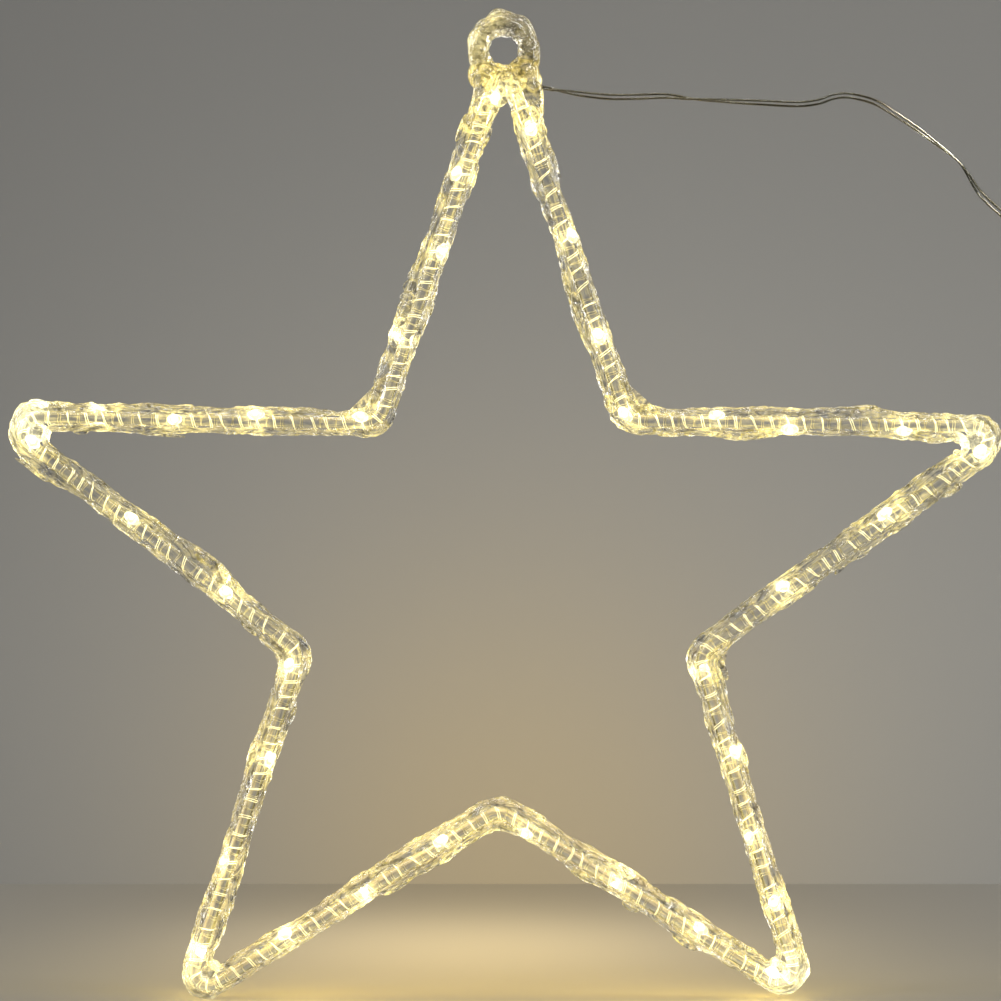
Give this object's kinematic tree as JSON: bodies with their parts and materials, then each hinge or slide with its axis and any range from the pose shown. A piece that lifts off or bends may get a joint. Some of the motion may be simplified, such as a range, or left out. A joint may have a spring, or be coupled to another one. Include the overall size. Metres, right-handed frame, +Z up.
{
  "type": "led christmas star",
  "caption": "Lit hanging star of bent clear acrylic rod, wound with an LED wire, with a hanging eye, a clear lead and a battery box.",
  "frame": {"origin": "middle of the hanging eye's hole", "axes": "+Z up, the star faces -Y, +X to the right of someone who faces the star"},
  "size_m": [0.4853, 0.0488, 0.3789],
  "materials": {
    "clear_acrylic": "clear, polished and lumpy",
    "silvered_wire": "silvered, fine",
    "lit_led_resin": "lit warm white",
    "clear_pvc": "clear, flexible",
    "white_abs": "fine texture",
    "cell_sleeve": "printed sleeve, plain",
    "nickelled_steel": "nickel plated",
    "green_board": "solder mask",
    "black_plastic": "satin"
  },
  "bodies": {
    "star": {"star_rod": "clear_acrylic", "light_wire": "silvered_wire", "outer_strand": "clear_acrylic", "inner_strand": "clear_acrylic", "hanging_eye": "clear_acrylic", "splice_sleeve": "clear_pvc", "lead": "clear_pvc", "battery_tray": "white_abs", "bay_lid": "white_abs", "aa_cell_1": "cell_sleeve", "aa_cell_2": "cell_sleeve", "aa_cell_3": "cell_sleeve", "cell_spring_1": "nickelled_steel", "cell_spring_2": "nickelled_steel", "cell_spring_3": "nickelled_steel", "contact_positive": "nickelled_steel", "contact_bridge_left": "nickelled_steel", "contact_bridge_right": "nickelled_steel", "contact_return": "nickelled_steel", "timer_board": "green_board", "switch_body": "black_plastic", "lead_grommet": "clear_pvc", "led_01": "lit_led_resin", "led_02": "lit_led_resin", "led_03": "lit_led_resin", "led_04": "lit_led_resin", "led_05": "lit_led_resin", "led_06": "lit_led_resin", "led_07": "lit_led_resin", "led_08": "lit_led_resin", "led_09": "lit_led_resin", "led_10": "lit_led_resin", "led_11": "lit_led_resin", "led_12": "lit_led_resin", "led_13": "lit_led_resin", "led_14": "lit_led_resin", "led_15": "lit_led_resin", "led_16": "lit_led_resin", "led_17": "lit_led_resin", "led_18": "lit_led_resin", "led_19": "lit_led_resin", "led_20": "lit_led_resin", "led_21": "lit_led_resin", "led_22": "lit_led_resin", "led_23": "lit_led_resin", "led_24": "lit_led_resin", "led_25": "lit_led_resin", "led_26": "lit_led_resin", "led_27": "lit_led_resin", "led_28": "lit_led_resin", "led_29": "lit_led_resin", "led_30": "lit_led_resin", "led_31": "lit_led_resin", "led_32": "lit_led_resin", "led_33": "lit_led_resin", "led_34": "lit_led_resin", "led_35": "lit_led_resin", "led_36": "lit_led_resin"},
    "cover": {"battery_cover": "white_abs"},
    "knob": {"switch_knob": "black_plastic"}
  },
  "joints": [
    {"name": "cover_slide", "type": "slide", "parent": "star", "child": "cover", "axis": [1, 0, 0], "range_m": [0, 0.06]},
    {"name": "knob_slide", "type": "slide", "parent": "star", "child": "knob", "axis": [0, -1, 0], "range_m": [0, 0.003]}
  ]
}
